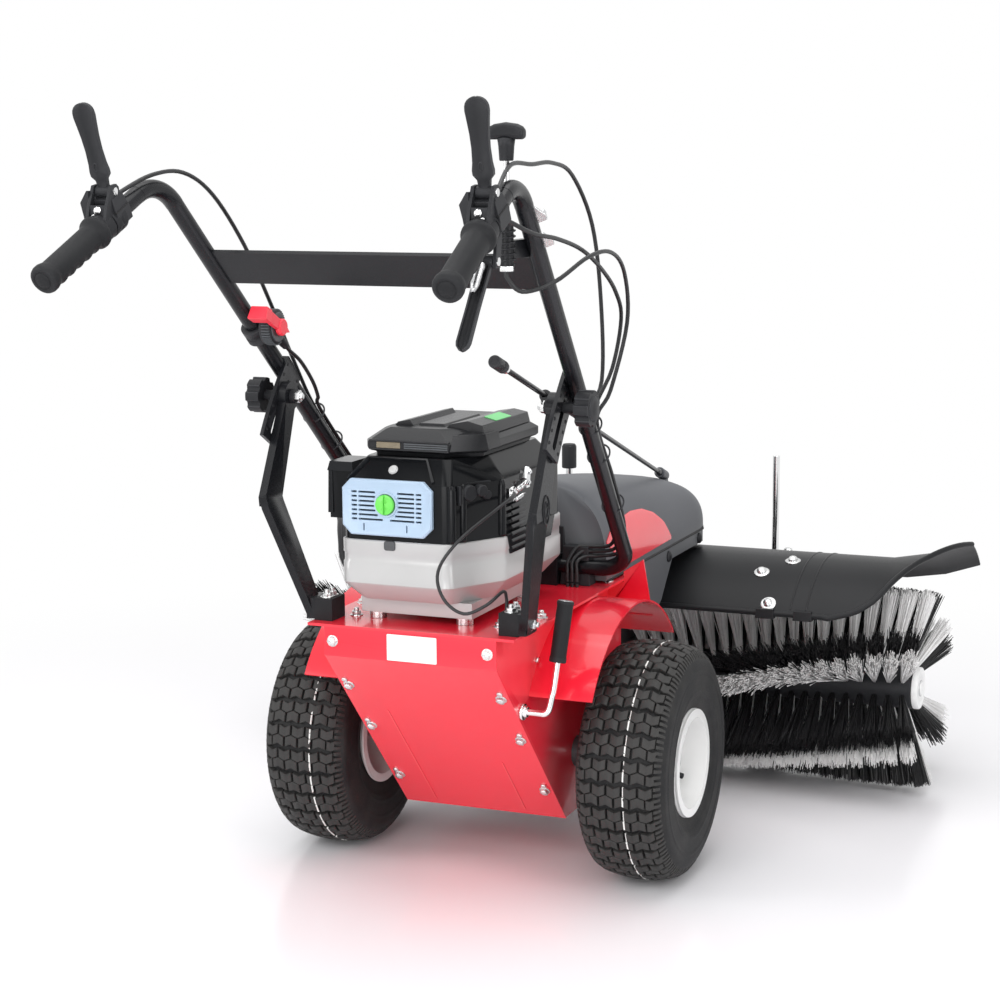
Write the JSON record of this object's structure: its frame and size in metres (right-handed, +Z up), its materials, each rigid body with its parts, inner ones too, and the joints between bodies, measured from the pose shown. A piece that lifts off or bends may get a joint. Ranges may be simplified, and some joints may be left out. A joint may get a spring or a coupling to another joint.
{
  "type": "power brush sweeper",
  "caption": "Walk-behind power sweeper with driven wheels, deck-mounted engine, U-shaped handlebar and a swivelling front roller brush under a flared cover on casters.",
  "frame": {"origin": "on the ground, under the middle of the overall length and width", "axes": "+X to the machine's right, +Y forward towards the brush, +Z up"},
  "size_m": [1.28, 1.7784, 1.2171],
  "materials": {
    "tyre_rubber": "ribbed black tyre rubber",
    "white_paint": "white enamel",
    "steel": "bright zinc-plated steel",
    "chrome": "polished",
    "red_paint": "gloss red powder coat",
    "black_paint": "satin black powder coat",
    "cast_alloy": "as cast",
    "silver_plastic": "warm silver shroud",
    "black_plastic": "moulded black",
    "grey_plastic": "textured dark grey",
    "blue_plastic": "pale blue",
    "lime_plastic": "lime green",
    "red_plastic": "signal red",
    "soft_rubber": "matt rubber",
    "bristle": "black bristle",
    "cable_sheath": "black sheath"
  },
  "bodies": {
    "chassis": {"chassis_frame": "red_paint", "rear_panel": "red_paint", "fender_left": "red_paint", "fender_right": "red_paint", "transaxle": "cast_alloy", "chassis_bolts": "steel", "engine_mounts": "steel", "engine_block": "cast_alloy", "engine_base_shroud": "silver_plastic", "engine_shroud": "black_plastic", "engine_lid": "black_plastic", "grille_panel": "blue_plastic", "drive_belt": "soft_rubber", "neck_beam": "black_paint", "top_gearbox": "cast_alloy", "hood_upper": "grey_plastic", "hood_skirt": "grey_plastic", "tube_saddles": "black_paint", "upright_left": "black_paint", "upright_right": "black_paint", "mount_blocks": "soft_rubber", "cables_chassis": "cable_sheath"},
    "wheel_left": {"tyre_left": "tyre_rubber", "rim_left": "white_paint", "axle_left": "steel"},
    "wheel_right": {"tyre_right": "tyre_rubber", "rim_right": "white_paint", "axle_right": "steel"},
    "handlebar": {"handlebar_frame": "black_paint", "grip_left": "soft_rubber", "grip_right": "soft_rubber", "control_left": "black_plastic", "control_right": "black_plastic", "throttle_body": "grey_plastic", "cables_handlebar": "cable_sheath"},
    "lever_left": {"lever_left": "black_plastic"},
    "lever_right": {"lever_right": "black_plastic"},
    "lower_lever": {"lower_lever": "grey_plastic"},
    "throttle_lever": {"throttle_lever": "red_plastic"},
    "t_handle": {"t_handle": "black_plastic"},
    "clamp_left": {"clamp_knob_left": "black_plastic"},
    "clamp_right": {"clamp_knob_right": "black_plastic"},
    "swivel_rod": {"swivel_rod": "black_paint"},
    "side_crank": {"side_crank": "chrome"},
    "filter_knob": {"filter_knob": "lime_plastic"},
    "crankshaft": {"crankshaft": "steel"},
    "drive_shaft": {"drive_shaft": "steel"},
    "upright_shaft": {"upright_shaft": "steel"},
    "brush_head": {"brush_gearbox": "cast_alloy", "brush_cover": "black_paint", "caster_frame": "black_paint"},
    "brush": {"brush_shaft": "steel", "brush_left": "bristle", "brush_right": "bristle"},
    "post_left": {"caster_post_left": "steel"},
    "post_right": {"caster_post_right": "steel"},
    "fork_left": {"caster_fork_left": "black_paint"},
    "fork_right": {"caster_fork_right": "black_paint"},
    "caster_left": {"caster_wheel_left": "black_plastic"},
    "caster_right": {"caster_wheel_right": "black_plastic"}
  },
  "joints": [
    {"name": "wheel_left_spin", "type": "hinge", "parent": "chassis", "child": "wheel_left", "pos_m": [-0.269, -0.05569, 0.1905], "axis": [1, 0, 0], "continuous": true},
    {"name": "wheel_right_spin", "type": "hinge", "parent": "chassis", "child": "wheel_right", "pos_m": [0.269, -0.05569, 0.1905], "axis": [1, 0, 0], "continuous": true},
    {"name": "handlebar_tilt", "type": "hinge", "parent": "chassis", "child": "handlebar", "pos_m": [0, 0.01831, 0.478], "axis": [1, 0, 0], "range_deg": [-7.5, 2.5]},
    {"name": "lever_left_squeeze", "type": "hinge", "parent": "handlebar", "child": "lever_left", "pos_m": [-0.27491, -0.74079, 1.09969], "axis": [1, 0, 0], "range_deg": [0, 95], "stiffness_Nm_per_rad": 0.5},
    {"name": "lever_right_squeeze", "type": "hinge", "parent": "handlebar", "child": "lever_right", "pos_m": [0.27491, -0.74079, 1.09969], "axis": [1, 0, 0], "range_deg": [0, 95], "stiffness_Nm_per_rad": 0.5},
    {"name": "lower_lever_squeeze", "type": "hinge", "parent": "handlebar", "child": "lower_lever", "pos_m": [0.27491, -0.73879, 1.01469], "axis": [1, 0, 0], "range_deg": [-25, 0], "stiffness_Nm_per_rad": 0.5},
    {"name": "throttle_turn", "type": "hinge", "parent": "handlebar", "child": "throttle_lever", "pos_m": [-0.21422, -0.38369, 0.892], "axis": [1, 0, 0], "range_deg": [-30, 50]},
    {"name": "t_handle_pull", "type": "slide", "parent": "handlebar", "child": "t_handle", "axis": [0, 0, 1], "range_m": [0, 0.04], "stiffness_N_per_m": 150},
    {"name": "clamp_left_turn", "type": "hinge", "parent": "chassis", "child": "clamp_left", "pos_m": [-0.253, -0.34769, 0.785], "axis": [1, 0, 0], "continuous": true},
    {"name": "clamp_right_turn", "type": "hinge", "parent": "chassis", "child": "clamp_right", "pos_m": [0.253, -0.34769, 0.785], "axis": [1, 0, 0], "continuous": true},
    {"name": "swivel_rod_pull", "type": "slide", "parent": "chassis", "child": "swivel_rod", "axis": [0.1251, -0.9561, 0.2648], "range_m": [0, 0.025], "stiffness_N_per_m": 300},
    {"name": "side_crank_swing", "type": "hinge", "parent": "chassis", "child": "side_crank", "pos_m": [0.14, -0.29169, 0.314], "axis": [1, 0, 0], "range_deg": [-20, 12]},
    {"name": "filter_knob_turn", "type": "hinge", "parent": "chassis", "child": "filter_knob", "pos_m": [-0.039, -0.38069, 0.634], "axis": [0, 1, 0], "range_deg": [0, 90]},
    {"name": "crankshaft_spin", "type": "hinge", "parent": "chassis", "child": "crankshaft", "pos_m": [0, -0.01569, 0.571], "axis": [0, 1, 0], "continuous": true},
    {"name": "drive_shaft_spin", "type": "hinge", "parent": "chassis", "child": "drive_shaft", "pos_m": [0, 0.30931, 0.492], "axis": [0, 1, 0], "continuous": true},
    {"name": "head_swivel", "type": "hinge", "parent": "chassis", "child": "brush_head", "pos_m": [0, 0.55931, 0.448], "axis": [0, 0, 1], "range_deg": [-20, 20]},
    {"name": "upright_shaft_spin", "type": "hinge", "parent": "brush_head", "child": "upright_shaft", "pos_m": [0, 0.55931, 0.35], "axis": [0, 0, 1], "continuous": true},
    {"name": "brush_spin", "type": "hinge", "parent": "brush_head", "child": "brush", "pos_m": [0, 0.55931, 0.187], "axis": [1, 0, 0], "continuous": true},
    {"name": "post_left_lift", "type": "slide", "parent": "brush_head", "child": "post_left", "axis": [0, 0, 1], "range_m": [0, 0.03]},
    {"name": "fork_left_swivel", "type": "hinge", "parent": "post_left", "child": "fork_left", "pos_m": [-0.217, 0.85931, 0.18], "axis": [0, 0, 1], "continuous": true},
    {"name": "caster_left_roll", "type": "hinge", "parent": "fork_left", "child": "caster_left", "pos_m": [-0.217, 0.81431, 0.075], "axis": [1, 0, 0], "continuous": true},
    {"name": "post_right_lift", "type": "slide", "parent": "brush_head", "child": "post_right", "axis": [0, 0, 1], "range_m": [0, 0.03]},
    {"name": "fork_right_swivel", "type": "hinge", "parent": "post_right", "child": "fork_right", "pos_m": [0.217, 0.85931, 0.18], "axis": [0, 0, 1], "continuous": true},
    {"name": "caster_right_roll", "type": "hinge", "parent": "fork_right", "child": "caster_right", "pos_m": [0.217, 0.81431, 0.075], "axis": [1, 0, 0], "continuous": true}
  ],
  "couplings": [
    {"joint": "upright_shaft_spin", "follows": "brush_spin", "ratio": -3},
    {"joint": "drive_shaft_spin", "follows": "brush_spin", "ratio": 6},
    {"joint": "crankshaft_spin", "follows": "brush_spin", "ratio": 7.85}
  ]
}
